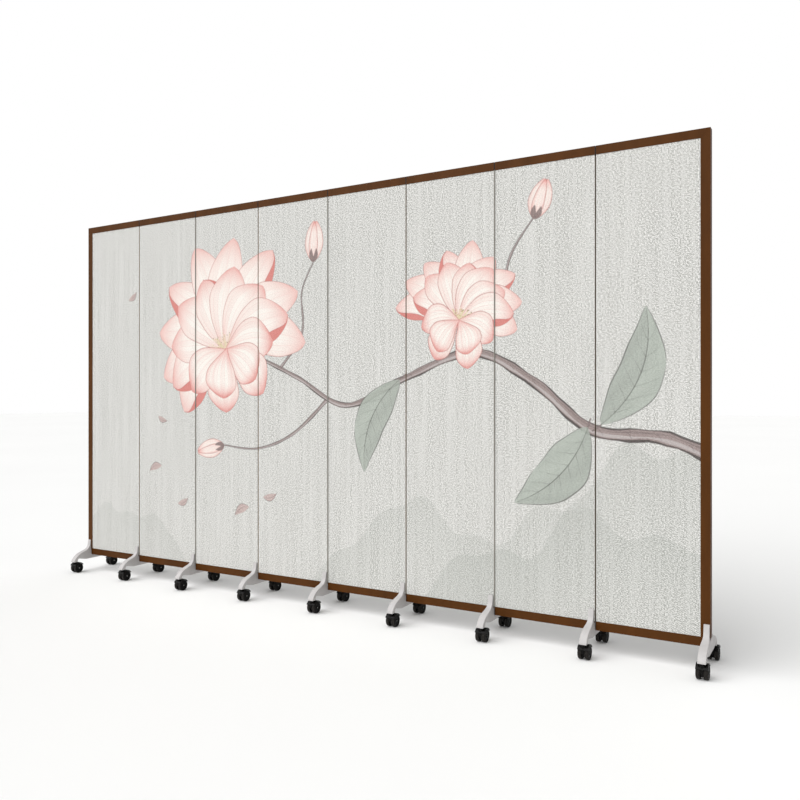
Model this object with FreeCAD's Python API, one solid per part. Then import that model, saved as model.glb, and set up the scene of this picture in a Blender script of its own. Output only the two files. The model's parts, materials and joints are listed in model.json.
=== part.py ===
import FreeCAD, Part
import math
import os
from FreeCAD import Placement, Rotation, Vector

# A free-standing folding partition: flat fabric panels in brown channel frames stand edge to edge along X,
# joined by continuous hinges, on cast feet that each carry a front and a rear twin-wheel caster.
# All sizes are in millimetres. The front faces -Y, the floor is z = 0, and the origin is the middle of the
# footprint on the floor.

# Driving dimensions
PANEL_COUNT = 8
PANEL_WIDTH = 400.0
PANEL_HEIGHT = 1800.0
PANEL_DEPTH = 32.0
JOINT_GAP = 5.0
FLOOR_CLEARANCE = 85.0

# Frame channel, which runs along the top, the bottom and the two outer ends
CHANNEL_FACE = 33.0
CHANNEL_WALL = 1.5
BOARD_ENGAGEMENT = 16.0
SLIDE_CLEARANCE = 0.1
BLOCK_LENGTH = 40.0
CAP_THICKNESS = 1.5

# Fabric board: a timber ladder with a facing and a cloth skin on each side
STILE_WIDTH = 20.0
BATTEN_WIDTH = 30.0
BATTEN_COUNT = 5
FACING_THICKNESS = 2.5
CLOTH_THICKNESS = 0.8

# Continuous hinge, whose pin stands in the middle of the joint gap in the plane of one face
HINGE_END_GAP = 1.0
LEAF_THICKNESS = 1.0
LEAF_WIDTH = 24.0
KNUCKLE_COUNT = 24
KNUCKLE_RADIUS = 2.2
KNUCKLE_GAP = 0.3
NECK_LENGTH = 2.6
NECK_THICKNESS = 1.3
PIN_RADIUS = 1.0
PIN_HEAD_HEIGHT = 0.7
HINGE_RUNNING = 0.05

# Screws, as head radius, shank radius, head height and length
SCREW_FIT = 0.05
LEAF_SCREW_COUNT = 7
LEAF_SCREW = (2.6, 1.25, 1.4, 13.0)
RAIL_SCREW = (3.8, 2.0, 2.0, 42.0)
FOOT_SCREW = (4.8, 2.5, 2.6, 34.0)
FOOT_SCREW_SPREAD = 16.0

# Cast foot, which straddles the lower corner of a panel
FOOT_WIDTH = 28.0
FOOT_REACH = 126.0
FOOT_RISE = 79.0
UPSTAND_WIDTH = 20.0
FLARE_TOP = 37.0
FLARE_FOOT = 17.0
ARM_TIP = 4.0
NOSE_HEIGHT = 58.0
NOSE_LENGTH = 22.0
WEB_THICKNESS = 20.5
ARCH_RISE = 10.0
ARCH_RUN = 46.0
ARCH_RADIUS = 8.0
LIP_THICKNESS = 1.5
LIP_HEIGHT = 31.0
# Points of the arm's upper outline: shares of its run from the panel's face, and of its height over the nose
ARM_OUTLINE_SHARES = (
    (0.073, 0.774),
    (0.136, 0.623),
    (0.300, 0.509),
    (0.600, 0.406),
    (0.864, 0.236),
    (1.000, 0.047),
)

# Twin-wheel caster
WHEEL_RADIUS = 25.0
WHEEL_WIDTH = 15.0
WHEEL_EDGE_RADIUS = 3.0
DISH_DEPTH = 1.5
DISH_INNER_RADIUS = 7.0
DISH_OUTER_RADIUS = 18.0
CASTER_TRAIL = 16.0
FORK_THICKNESS = 10.0
FORK_RADIUS = 18.0
FORK_SIDE_CLEARANCE = 0.5
HOOD_CLEARANCE = 2.0
HOOD_THICKNESS = 3.5
HOOD_SKIRT = 14.0
BOSS_RADIUS = 9.0
SWIVEL_GAP = 0.5
STEM_RADIUS = 4.0
STEM_INSERTION = 12.0
STEM_EMBEDMENT = 16.0
STEM_RUNNING = 0.05
SOCKET_SPARE = 1.0
AXLE_RADIUS = 3.0
AXLE_RUNNING = 0.05
AXLE_RECESS = 1.0

# Derived sizes
HALF_DEPTH = PANEL_DEPTH / 2
HALF_GAP = JOINT_GAP / 2
PITCH = PANEL_WIDTH + JOINT_GAP
LENGTH = PANEL_COUNT * PITCH - JOINT_GAP
BOARD_INSET = CHANNEL_FACE - BOARD_ENGAGEMENT
BOARD_DEPTH = PANEL_DEPTH - 2 * (CHANNEL_WALL + SLIDE_CLEARANCE)
LADDER_DEPTH = BOARD_DEPTH - 2 * (FACING_THICKNESS + CLOTH_THICKNESS)
HINGE_LENGTH = PANEL_HEIGHT - 2 * (CHANNEL_FACE + HINGE_END_GAP)
FOOT_MIDDLE = FOOT_WIDTH / 2 - LIP_THICKNESS
STEM_OFFSET = FOOT_REACH - NOSE_LENGTH / 2
HOOD_RADIUS = WHEEL_RADIUS + HOOD_CLEARANCE + HOOD_THICKNESS
HOOD_REACH = math.sqrt(HOOD_RADIUS**2 - min(HOOD_SKIRT, HOOD_RADIUS) ** 2)
CASTER_REACH = max(WHEEL_RADIUS, HOOD_REACH)
FRONT_REACH = max(FOOT_REACH, STEM_OFFSET - CASTER_TRAIL + CASTER_REACH)
REAR_REACH = max(FOOT_REACH, STEM_OFFSET + CASTER_TRAIL + CASTER_REACH)
PANEL_Y = (FRONT_REACH - REAR_REACH) / 2

UP = Vector(0, 0, 1)
ALONG = Vector(1, 0, 0)
ACROSS = Vector(0, 1, 0)
LEFT, RIGHT = -1, 1
FRONT, REAR = -1, 1


def slab(xs, ys, zs):
    """A box between two places on each axis, given in either order."""
    (xa, xb), (ya, yb), (za, zb) = sorted(xs), sorted(ys), sorted(zs)
    return Part.makeBox(xb - xa, yb - ya, zb - za, Vector(xa, ya, za))


def centred(size):
    return (-size / 2, size / 2)


def prism(points, depth):
    """An outline of (x, z) points, extruded equally to both sides of y = 0."""
    corners = [Vector(x, -depth / 2, z) for x, z in points]
    return Part.Face(Part.makePolygon(corners + corners[:1])).extrude(ACROSS * depth)


def screw(sizes, fit=0.0):
    """A countersunk screw that hangs down from the flat of its head at the origin, or with a fit its hole."""
    head_radius, shank_radius, head_height, length = sizes
    head = Part.makeCone(shank_radius + fit, head_radius + fit, head_height, UP * -head_height)
    shank = Part.makeCylinder(shank_radius + fit, length - head_height, UP * -length)
    return head.fuse(shank).removeSplitter()


def placed(shape, position, rotation=Rotation()):
    copy = shape.copy()
    copy.Placement = Placement(position, rotation).multiply(copy.Placement)
    return copy


def cut_all(shape, tools):
    return shape.cut(tools) if tools else shape


def write(name, solids):
    """Writes one node's solids to its file, after a look at each."""
    for solid in solids:
        if not solid.isValid() or len(solid.Solids) != 1:
            raise ValueError("%s holds a piece that is not one valid solid" % name)
    Part.makeCompound(solids).exportStep("parts/%s.step" % name)


def channel(length, mitred_start, mitred_end):
    """A U-section that runs along X with its floor at z = 0, its mouth up, and its ends square or mitred."""
    start = CHANNEL_FACE if mitred_start else 0.0
    end = length - (CHANNEL_FACE if mitred_end else 0.0)
    floor_start = CHANNEL_WALL if mitred_start else 0.0
    floor_end = length - (CHANNEL_WALL if mitred_end else 0.0)
    outside = [(0.0, 0.0), (length, 0.0), (end, CHANNEL_FACE), (start, CHANNEL_FACE)]
    inside = [
        (floor_start, CHANNEL_WALL),
        (floor_end, CHANNEL_WALL),
        (end, CHANNEL_FACE),
        (start, CHANNEL_FACE),
    ]
    return prism(outside, PANEL_DEPTH).cut(prism(inside, PANEL_DEPTH - 2 * CHANNEL_WALL))


def end_plug(capped):
    """The moulded plug in the open end of a rail at x = 0, with a cap over the end unless a foot covers it."""
    plug = slab((0.0, BLOCK_LENGTH), centred(BOARD_DEPTH), (CHANNEL_WALL, BOARD_INSET))
    if not capped:
        return plug
    cap = slab((-CAP_THICKNESS, 0.0), centred(PANEL_DEPTH), (0.0, CHANNEL_FACE))
    return plug.fuse(cap).removeSplitter()


def corner_key():
    """The angle inside a mitred corner at the origin, which ties the rail to the outer stile."""
    wall, inner = CHANNEL_WALL, BOARD_INSET
    outline = [(wall, wall), (BLOCK_LENGTH, wall), (BLOCK_LENGTH, inner)]
    outline += [(inner, inner), (inner, BLOCK_LENGTH), (wall, BLOCK_LENGTH)]
    return prism(outline, BOARD_DEPTH)


def corners(is_first, is_last):
    """The four corners of a panel: the side, whether it is at the top, and whether an outer stile ends there."""
    for side in (LEFT, RIGHT):
        outer = is_first if side == LEFT else is_last
        for top in (False, True):
            yield side, top, outer


def at_corner(shape, side, top):
    """Moves a shape made for the lower left corner to another corner of the panel."""
    if side == RIGHT:
        shape = shape.mirror(Vector(PANEL_WIDTH / 2, 0, 0), ALONG)
    if top:
        shape = shape.mirror(Vector(0, 0, PANEL_HEIGHT / 2), UP)
    return shape


def stile_middle(outer):
    """How far in from a panel's edge the middle of its timber stile stands."""
    return (BOARD_INSET if outer else 0.0) + STILE_WIDTH / 2


def hinge_leaf(side, pin_side):
    """One leaf of the continuous hinge, about its pin at x = y = 0, from z = 0 up.

    The left leaf lies on the edge of the panel to the left and carries every other knuckle from the first.
    """
    inward = -pin_side
    edge = side * HALF_GAP
    plate = slab(
        (edge, edge - side * LEAF_THICKNESS),
        (inward * NECK_LENGTH, inward * LEAF_WIDTH),
        (0.0, HINGE_LENGTH),
    )
    pitch = HINGE_LENGTH / KNUCKLE_COUNT
    pieces = []
    for number in range(0 if side == LEFT else 1, KNUCKLE_COUNT, 2):
        low = number * pitch + KNUCKLE_GAP / 2
        high = (number + 1) * pitch - KNUCKLE_GAP / 2
        pieces.append(Part.makeCylinder(KNUCKLE_RADIUS, high - low, UP * low))
        neck = (edge, edge - side * NECK_THICKNESS)
        pieces.append(slab(neck, (0.0, inward * (NECK_LENGTH + LEAF_THICKNESS)), (low, high)))
    bore = Part.makeCylinder(PIN_RADIUS + HINGE_RUNNING, HINGE_LENGTH)
    return plate.multiFuse(pieces).cut(bore).removeSplitter()


def hinge_pin():
    """The wire pin with its two upset heads, about x = y = 0."""
    wire = Part.makeCylinder(PIN_RADIUS, HINGE_LENGTH)
    lower = Part.makeCylinder(KNUCKLE_RADIUS, PIN_HEAD_HEIGHT, UP * -PIN_HEAD_HEIGHT)
    upper = Part.makeCylinder(KNUCKLE_RADIUS, PIN_HEAD_HEIGHT, UP * HINGE_LENGTH)
    return wire.multiFuse([lower, upper]).removeSplitter()


def leaf_screws(side, pin_side, fit=0.0):
    """The screws of one leaf, or with a fit their holes, driven from the gap into the timber stile."""
    turn = Rotation(ACROSS, side * -90)
    depth = -pin_side * (NECK_LENGTH + LEAF_WIDTH) / 2
    face = side * (HALF_GAP - LEAF_THICKNESS)
    spacing = HINGE_LENGTH / LEAF_SCREW_COUNT
    shape = screw(LEAF_SCREW, fit)
    return [
        placed(shape, Vector(face, depth, (number + 0.5) * spacing), turn)
        for number in range(LEAF_SCREW_COUNT)
    ]


def pin_side_of(joint):
    """Joints turn by turn have their pin at the rear face and at the front face, so that the screen zigzags."""
    return REAR if joint % 2 == 1 else FRONT


def pin_place(joint_side, pin_side):
    """The pin's foot in a panel's own frame, for the joint at its left or its right edge."""
    x = PANEL_WIDTH + HALF_GAP if joint_side == RIGHT else -HALF_GAP
    return Vector(x, pin_side * HALF_DEPTH, CHANNEL_FACE + HINGE_END_GAP)


def panel_joints(number):
    """The joints at a panel's edges: which edge of the panel, and the side of the pin."""
    if number > 1:
        yield LEFT, pin_side_of(number - 1)
    if number < PANEL_COUNT:
        yield RIGHT, pin_side_of(number)


def frame_solids(number):
    """Rails, outer stile, corner pieces, hinge leaves, pins and screws of one panel."""
    is_first, is_last = number == 1, number == PANEL_COUNT
    rail = channel(PANEL_WIDTH, is_first, is_last)
    rails = [rail, rail.mirror(Vector(0, 0, PANEL_HEIGHT / 2), UP)]
    stiles = []
    if is_first or is_last:
        turn, x, z = (90, 0.0, PANEL_HEIGHT) if is_first else (-90, PANEL_WIDTH, 0.0)
        stiles = [placed(channel(PANEL_HEIGHT, True, True), Vector(x, 0, z), Rotation(ACROSS, turn))]
    fixings, screws, holes = [], [], []
    for side, top, outer in corners(is_first, is_last):
        under = Rotation(ALONG, 180)
        place = Vector(stile_middle(outer), 0, 0)
        screws.append(at_corner(placed(screw(RAIL_SCREW), place, under), side, top))
        hole = placed(screw(RAIL_SCREW, SCREW_FIT), place, under)
        holes.append(at_corner(hole, side, top))
        on_foot = not top and side in foot_places(number)
        fixing = corner_key() if outer else end_plug(not on_foot)
        fixings.append(at_corner(fixing, side, top))
    holes += [hole for _, _, hole in foot_screws(number)]
    pieces = [cut_all(piece, holes) for piece in rails + stiles + fixings] + screws
    for joint_side, pin_side in panel_joints(number):
        foot = pin_place(joint_side, pin_side)
        leaf_side = -joint_side
        leaf = cut_all(hinge_leaf(leaf_side, pin_side), leaf_screws(leaf_side, pin_side, SCREW_FIT))
        shapes = [leaf] + leaf_screws(leaf_side, pin_side)
        if joint_side == RIGHT:
            shapes.append(hinge_pin())
        pieces += [placed(shape, foot) for shape in shapes]
    return pieces


def board_solids(number):
    """The timber ladder, its two facings and the cloth on both sides of one panel."""
    is_first, is_last = number == 1, number == PANEL_COUNT
    left = BOARD_INSET if is_first else 0.0
    right = PANEL_WIDTH - (BOARD_INSET if is_last else 0.0)
    bottom, top = BOARD_INSET, PANEL_HEIGHT - BOARD_INSET
    holes = []
    for side, upper, outer in corners(is_first, is_last):
        hole = placed(screw(RAIL_SCREW, SCREW_FIT), Vector(stile_middle(outer), 0, 0), Rotation(ALONG, 180))
        holes.append(at_corner(hole, side, upper))
    for joint_side, pin_side in panel_joints(number):
        foot = pin_place(joint_side, pin_side)
        holes += [placed(hole, foot) for hole in leaf_screws(-joint_side, pin_side, SCREW_FIT)]
    inner_left, inner_right = left + STILE_WIDTH, right - STILE_WIDTH
    stiles = [
        cut_all(slab(xs, centred(LADDER_DEPTH), (bottom, top)), holes)
        for xs in ((left, inner_left), (inner_right, right))
    ]
    spacing = (top - bottom - BATTEN_WIDTH) / (BATTEN_COUNT - 1)
    battens = []
    for step in range(BATTEN_COUNT):
        low = bottom + step * spacing
        battens.append(slab((inner_left, inner_right), centred(LADDER_DEPTH), (low, low + BATTEN_WIDTH)))
    sheets = []
    for side in (FRONT, REAR):
        inner = side * LADDER_DEPTH / 2
        for thickness in (FACING_THICKNESS, CLOTH_THICKNESS):
            outer = inner + side * thickness
            sheets.append(slab((left, right), (inner, outer), (bottom, top)))
            inner = outer
    return stiles + battens + sheets


def foot_places(number):
    """The edges of a panel that stand on a foot: the right one of each, and the left one of the first."""
    return (LEFT, RIGHT) if number == 1 else (RIGHT,)


def foot_screws(number):
    """The screws of each foot of a panel: the foot's side, the screw and its hole."""
    under = Rotation(ALONG, 180)
    for side in foot_places(number):
        for depth in centred(FOOT_SCREW_SPREAD):
            place = Vector(FOOT_MIDDLE, depth, -WEB_THICKNESS)
            shapes = [placed(screw(FOOT_SCREW, fit), place, under) for fit in (0.0, SCREW_FIT)]
            yield (side, *[at_corner(shape, side, False) for shape in shapes])


def arm_outline(side):
    """The edges of one arm's outline, from the panel's face round the nose to the web, and where they end."""
    nose = NOSE_HEIGHT - FLOOR_CLEARANCE
    run, height = FOOT_REACH - HALF_DEPTH, FOOT_RISE - nose
    heel = FOOT_REACH - NOSE_LENGTH
    under, arch = -WEB_THICKNESS, ARCH_RISE - WEB_THICKNESS
    bend = min(ARCH_RADIUS, arch - nose)
    corner_share = math.sqrt(0.5)

    def at(y, z):
        return Vector(0, side * y, z)

    points = [at(HALF_DEPTH + run * out, nose + height * up) for out, up in ARM_OUTLINE_SHARES]
    middle = at(heel - bend + bend * corner_share, arch - bend + bend * corner_share)
    web_end = at(heel - bend - ARCH_RUN, under)
    tip = at(HALF_DEPTH + ARM_TIP, FOOT_RISE)
    corners = [
        (at(HALF_DEPTH, 0.0), at(HALF_DEPTH, FOOT_RISE)),
        (at(HALF_DEPTH, FOOT_RISE), tip),
        (tip, points[0]),
        (points[2], points[3]),
        (points[5], at(FOOT_REACH, nose)),
        (at(FOOT_REACH, nose), at(heel, nose)),
        (at(heel, nose), at(heel, arch - bend)),
        (at(heel - bend, arch), web_end),
    ]
    edges = [Part.makeLine(start, end) for start, end in corners if start.distanceToPoint(end) > 0.0]
    arcs = [points[0:3], points[3:6], [at(heel, arch - bend), middle, at(heel - bend, arch)]]
    return edges + [Part.Arc(*arc).toShape() for arc in arcs], web_end


def foot_casting():
    """A foot about the panel's lower left corner, with a lip over the panel's end and a socket in each nose."""
    front, front_end = arm_outline(FRONT)
    rear, rear_end = arm_outline(REAR)
    seat = Part.makeLine(Vector(0, -HALF_DEPTH, 0), Vector(0, HALF_DEPTH, 0))
    underside = Part.makeLine(front_end, rear_end)
    outline = Part.Wire(Part.__sortEdges__(front + rear + [seat, underside]))
    body = placed(Part.Face(outline).extrude(ALONG * FOOT_WIDTH), ALONG * -LIP_THICKNESS)
    nose = NOSE_HEIGHT - FLOOR_CLEARANCE
    wide, narrow = FOOT_WIDTH / 2, UPSTAND_WIDTH / 2
    heights = (nose, FLARE_FOOT, FLARE_TOP, FOOT_RISE)
    left = [(FOOT_MIDDLE - half, z) for half, z in zip((wide, wide, narrow, narrow), heights)]
    right = [(2 * FOOT_MIDDLE - x, z) for x, z in reversed(left)]
    body = body.common(prism(left + right, 2 * FOOT_REACH))
    lip = slab((-LIP_THICKNESS, 0.0), centred(PANEL_DEPTH), (-WEB_THICKNESS, LIP_HEIGHT))
    casting = body.fuse(lip).removeSplitter()
    sockets = [
        Part.makeCylinder(
            STEM_RADIUS + STEM_RUNNING,
            STEM_INSERTION + SOCKET_SPARE,
            Vector(FOOT_MIDDLE, side * STEM_OFFSET, nose),
        )
        for side in (FRONT, REAR)
    ]
    return casting.cut(sockets)


def foot_solids(number):
    """The feet of one panel with their screws."""
    screws = list(foot_screws(number))
    pieces = []
    for side in foot_places(number):
        casting = at_corner(foot_casting(), side, False)
        pieces.append(cut_all(casting, [hole for foot, _, hole in screws if foot == side]))
    return pieces + [shape for _, shape, _ in screws]


def disc(radius, width, x=0.0):
    """A disc about the caster's axle line, whose thickness lies along X from x on."""
    return Part.makeCylinder(radius, width, Vector(x, CASTER_TRAIL, WHEEL_RADIUS), ALONG)


def caster_housing():
    """Fork, hood and stem boss in one moulding, and the steel stem, about the stem's line on the floor."""
    overall = FORK_THICKNESS + 2 * (FORK_SIDE_CLEARANCE + WHEEL_WIDTH)
    inner, outer = WHEEL_RADIUS + HOOD_CLEARANCE, HOOD_RADIUS
    skirt = slab(
        centred(overall),
        (CASTER_TRAIL - outer, CASTER_TRAIL + outer),
        (WHEEL_RADIUS - outer, WHEEL_RADIUS + HOOD_SKIRT),
    )
    room = disc(inner, overall, -overall / 2)
    hood = disc(outer, overall, -overall / 2).cut([room, skirt])
    boss_top = NOSE_HEIGHT - SWIVEL_GAP
    boss = Part.makeCylinder(BOSS_RADIUS, boss_top - WHEEL_RADIUS, UP * WHEEL_RADIUS).cut(room)
    half = FORK_THICKNESS / 2
    cheek = slab(
        (-half, half),
        (-BOSS_RADIUS, CASTER_TRAIL),
        (WHEEL_RADIUS, WHEEL_RADIUS + inner),
    ).common(disc(inner + HOOD_THICKNESS / 2, FORK_THICKNESS, -half))
    body = hood.multiFuse([boss, cheek, disc(FORK_RADIUS, FORK_THICKNESS, -half)])
    stem_foot = boss_top - STEM_EMBEDMENT
    stem = Part.makeCylinder(STEM_RADIUS, NOSE_HEIGHT + STEM_INSERTION - stem_foot, UP * stem_foot)
    bore = disc(AXLE_RADIUS + AXLE_RUNNING, FORK_THICKNESS, -half)
    return [body.cut([stem, bore]).removeSplitter(), stem]


def caster_wheel():
    """The right-hand wheel: a disc with a rounded tread and a dished outer face, bored for the axle."""
    inner_face = FORK_THICKNESS / 2 + FORK_SIDE_CLEARANCE
    outer_face = inner_face + WHEEL_WIDTH
    tyre = disc(WHEEL_RADIUS, WHEEL_WIDTH, inner_face)
    rims = [edge for edge in tyre.Edges if edge.Length > WHEEL_RADIUS and len(edge.Vertexes) == 1]
    tyre = tyre.makeFillet(WHEEL_EDGE_RADIUS, rims)
    dish = disc(DISH_OUTER_RADIUS, DISH_DEPTH, outer_face - DISH_DEPTH).cut(
        disc(DISH_INNER_RADIUS, DISH_DEPTH, outer_face - DISH_DEPTH)
    )
    return tyre.cut([dish, disc(AXLE_RADIUS, WHEEL_WIDTH, inner_face)])


def caster_wheels():
    """Both wheels of a caster and the axle that they are pressed on."""
    right = caster_wheel()
    left = right.mirror(Vector(0, 0, 0), ALONG)
    reach = FORK_THICKNESS / 2 + FORK_SIDE_CLEARANCE + WHEEL_WIDTH - AXLE_RECESS
    return [left, right, disc(AXLE_RADIUS, 2 * reach, -reach)]


def panel_origin(number):
    """The lower left corner of a panel, in the middle of its depth."""
    return Vector(-LENGTH / 2 + (number - 1) * PITCH, PANEL_Y, FLOOR_CLEARANCE)


def foot_lines():
    """The middle of each foot along X, from the left end."""
    lines = []
    for number in range(1, PANEL_COUNT + 1):
        for side in foot_places(number):
            inset = FOOT_MIDDLE if side == LEFT else PANEL_WIDTH - FOOT_MIDDLE
            lines.append(panel_origin(number).x + inset)
    return lines


def main():
    os.makedirs("parts", exist_ok=True)
    for number in range(1, PANEL_COUNT + 1):
        origin = panel_origin(number)
        feet = "feet_1_and_2" if number == 1 else "foot_%d" % (number + 1)
        nodes = {
            "panel_%d_frame" % number: frame_solids(number),
            "panel_%d_board" % number: board_solids(number),
            feet: foot_solids(number),
        }
        for name, solids in nodes.items():
            write(name, [placed(solid, origin) for solid in solids])
    housing, wheels = caster_housing(), caster_wheels()
    for count, x in enumerate(foot_lines(), start=1):
        for side, word in ((FRONT, "front"), (REAR, "rear")):
            place = Vector(x, PANEL_Y + side * STEM_OFFSET, 0)
            write("caster_%d_%s_housing" % (count, word), [placed(solid, place) for solid in housing])
            write("caster_%d_%s_wheels" % (count, word), [placed(solid, place) for solid in wheels])


main()
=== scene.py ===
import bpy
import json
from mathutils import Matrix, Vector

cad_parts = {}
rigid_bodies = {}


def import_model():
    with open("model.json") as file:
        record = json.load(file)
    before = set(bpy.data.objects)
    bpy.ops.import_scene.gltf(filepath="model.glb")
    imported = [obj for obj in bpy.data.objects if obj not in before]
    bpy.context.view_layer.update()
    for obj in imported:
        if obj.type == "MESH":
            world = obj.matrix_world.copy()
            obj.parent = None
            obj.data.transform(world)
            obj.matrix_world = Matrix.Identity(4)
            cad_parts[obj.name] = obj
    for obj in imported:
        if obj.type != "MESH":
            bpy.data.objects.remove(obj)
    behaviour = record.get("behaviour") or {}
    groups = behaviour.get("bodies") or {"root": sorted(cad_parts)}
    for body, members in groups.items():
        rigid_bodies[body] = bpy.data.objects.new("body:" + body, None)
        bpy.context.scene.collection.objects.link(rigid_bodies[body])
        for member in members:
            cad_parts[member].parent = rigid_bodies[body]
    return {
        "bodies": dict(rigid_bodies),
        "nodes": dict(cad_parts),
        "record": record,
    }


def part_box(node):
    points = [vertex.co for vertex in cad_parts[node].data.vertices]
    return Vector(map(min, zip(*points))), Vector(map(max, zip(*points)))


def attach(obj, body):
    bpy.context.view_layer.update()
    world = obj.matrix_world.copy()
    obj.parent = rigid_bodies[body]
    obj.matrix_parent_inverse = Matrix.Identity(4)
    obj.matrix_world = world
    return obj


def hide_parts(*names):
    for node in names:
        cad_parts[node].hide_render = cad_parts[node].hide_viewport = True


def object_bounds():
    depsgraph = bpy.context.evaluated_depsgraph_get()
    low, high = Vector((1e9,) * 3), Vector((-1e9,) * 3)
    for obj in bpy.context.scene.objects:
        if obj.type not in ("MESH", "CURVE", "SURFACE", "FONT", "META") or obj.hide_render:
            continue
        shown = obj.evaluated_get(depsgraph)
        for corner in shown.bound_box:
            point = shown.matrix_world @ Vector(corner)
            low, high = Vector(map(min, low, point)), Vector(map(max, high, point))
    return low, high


bl_info = {
    "name": "Folding screen on casters",
    "version": (1, 0, 0),
    "blender": (4, 5, 0),
    "location": "3D View > Sidebar > Screen",
    "description": "Dresses the folding screen: frames, hinges, cloth and its print, feet and casters",
    "category": "Object",
}

import json
import math
import random

import bmesh
import bpy
import numpy as np
from bpy.props import FloatProperty, FloatVectorProperty, IntProperty, PointerProperty
from mathutils import Vector
from mathutils.geometry import delaunay_2d_cdt

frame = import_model()
CAD_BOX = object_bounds()

# The front faces -Y and the floor is z = 0. Lengths are in metres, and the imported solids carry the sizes.
MM = 0.001
SHARP = math.radians(35)  # an edge that turns by more than this is rounded and not shaded smooth
PANELS = sorted(name for name in frame["bodies"] if name.startswith("panel_"))
CASTERS = sorted(name[: -len("_housing")] for name in frame["nodes"] if name.endswith("_housing"))
FEET = sorted(name for name in frame["nodes"] if name.startswith(("foot_", "feet_")))


def srgb(code):
    """A hex colour as linear red, green and blue."""
    parts = [int(code[at:at + 2], 16) / 255 for at in (1, 3, 5)]
    return tuple(part / 12.92 if part <= 0.04045 else ((part + 0.055) / 1.055) ** 2.4 for part in parts)


def colour(name, description, code):
    look = {"default": srgb(code), "size": 3, "subtype": "COLOR", "min": 0.0, "max": 1.0}
    return FloatVectorProperty(name=name, description=description, **look)


def length(name, description, default, low=0.0):
    return FloatProperty(name=name, description=description, default=default, min=low, max=10, unit="LENGTH")


def amount(name, description, default, high=1.0):
    return FloatProperty(name=name, description=description, default=default, min=0.0, max=high)


class ScreenFrameFinish(bpy.types.PropertyGroup):
    coat: colour("Powder coat", "Brown of the rails and end stiles", "#502E0E")
    plug: colour("Plugs", "Dark brown of the moulded end plugs", "#3A2416")
    hinge: colour("Hinge steel", "Grey of the hinge leaves and their pin", "#A5A29A")
    screw: colour("Screw steel", "Zinc grey of the screws", "#B4B2AB")
    timber: colour("Timber", "Pine of the stiles and battens inside the boards", "#C9A877")
    facing: colour("Facing", "Fibreboard between the timber and the cloth", "#A88A66")
    edge_radius: length("Edge radius", "Radius of the rails' outer edges", 0.45 * MM)


class ScreenClothFinish(bpy.types.PropertyGroup):
    ground: colour("Cloth", "Pale colour of the threads", "#ECEBE8")
    # Painted shade: the colour the cloth takes down in the pits between its threads, along with the yarn's
    # own darker flecks
    shade: colour("Cloth shade", "Colour down between the threads", "#A0A09B")
    thread: length("Thread spacing", "Distance from one thread to the next, as drawn", 9.0 * MM)
    pit: length("Pit size", "Size of the pits between the threads, as drawn", 5.0 * MM)
    slub: length("Slub length", "Length of the thicker stretches of weft", 11 * MM)
    band: length("Band width", "Width of the bands of tighter and looser weave", 20 * MM)
    weft_share: amount("Weft share", "How far the slubs outdo the pits", 0.2)
    basket: amount("Basket", "How clearly the threads' crossings show", 0.09)
    loose: amount("Loose fleck", "How far the fleck stands out in a loose band", 2.6, 10.0)
    tight: amount("Tight fleck", "How far the fleck stands out in a tight band", 6.0, 10.0)


class ScreenPrintDesign(bpy.types.PropertyGroup):
    petal_deep: colour("Deep pink", "Pigment at the foot and the rim of a petal", "#C9675F")
    petal_mid: colour("Pink", "Pigment over the outer part of a petal", "#E3ABA4")
    petal_pale: colour("Petal white", "Pigment in the middle of a petal", "#F2ECE5")
    bark: colour("Bark", "Mauve grey of the branch", "#93827F")
    leaf: colour("Leaf", "Grey green of the leaves", "#AEB6AC")
    hill: colour("Hills", "Grey of the far hills", "#9FA49D")
    line: colour("Ink line", "Dark ink of the outlines", "#3B3735")
    cell: length("Fineness", "Smallest distance at which the printed colour changes", 2.0 * MM, 0.5 * MM)
    seed: IntProperty(name="Seed", description="Seed of the brush's small irregularities", default=11, min=0)


class ScreenFootFinish(bpy.types.PropertyGroup):
    paint: colour("Paint", "Light grey of the cast feet", "#C2BFBE")
    edge_radius: length("Edge radius", "Radius of the castings' edges", 1.4 * MM)


class ScreenCasterFinish(bpy.types.PropertyGroup):
    hood: colour("Hood", "Black of the moulded hood and fork", "#0A0908")
    tyre: colour("Wheel", "Black of the wheels", "#0D0C0B")
    dust: colour("Dust", "Grey that the treads pick up from the floor", "#33302D")
    steel: colour("Steel", "Grey of the stem and the axle", "#A9A8A4")
    edge_radius: length("Edge radius", "Radius of the mouldings' edges", 0.6 * MM)


class ScreenStage(bpy.types.PropertyGroup):
    eye: FloatVectorProperty(
        name="Camera", description="The camera's place",
        default=(2.0446, -2.9061, 0.9512), subtype="TRANSLATION",
    )
    turn: FloatProperty(
        name="Turn", description="The camera's turn to the left",
        default=math.radians(30.134), subtype="ANGLE",
    )
    lens: FloatProperty(name="Lens", description="Focal length in millimetres", default=35.16, min=1.0)
    shift: FloatProperty(name="Shift", description="Shift of the view upwards", default=-0.00366)
    floor: colour("Floor", "Colour of the plain floor", "#F8F8F7")
    key: amount("Key light", "Strength of the light from the front left", 2.7, 10.0)
    ambient: amount("Ambient", "Strength of the light from all round", 0.35, 10.0)


GROUPS = {
    "screen_frame": ScreenFrameFinish,
    "screen_cloth": ScreenClothFinish,
    "screen_print": ScreenPrintDesign,
    "screen_foot": ScreenFootFinish,
    "screen_caster": ScreenCasterFinish,
    "screen_stage": ScreenStage,
}


def settings(name):
    return getattr(bpy.context.scene, name)


# Materials. The plain numbers of a grain, a peel and a depth are millimetres.

NOISE, RANGE, MATH = "ShaderNodeTexNoise", "ShaderNodeMapRange", "ShaderNodeMath"
MIX, BUMP = "ShaderNodeMix", "ShaderNodeBump"


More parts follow.
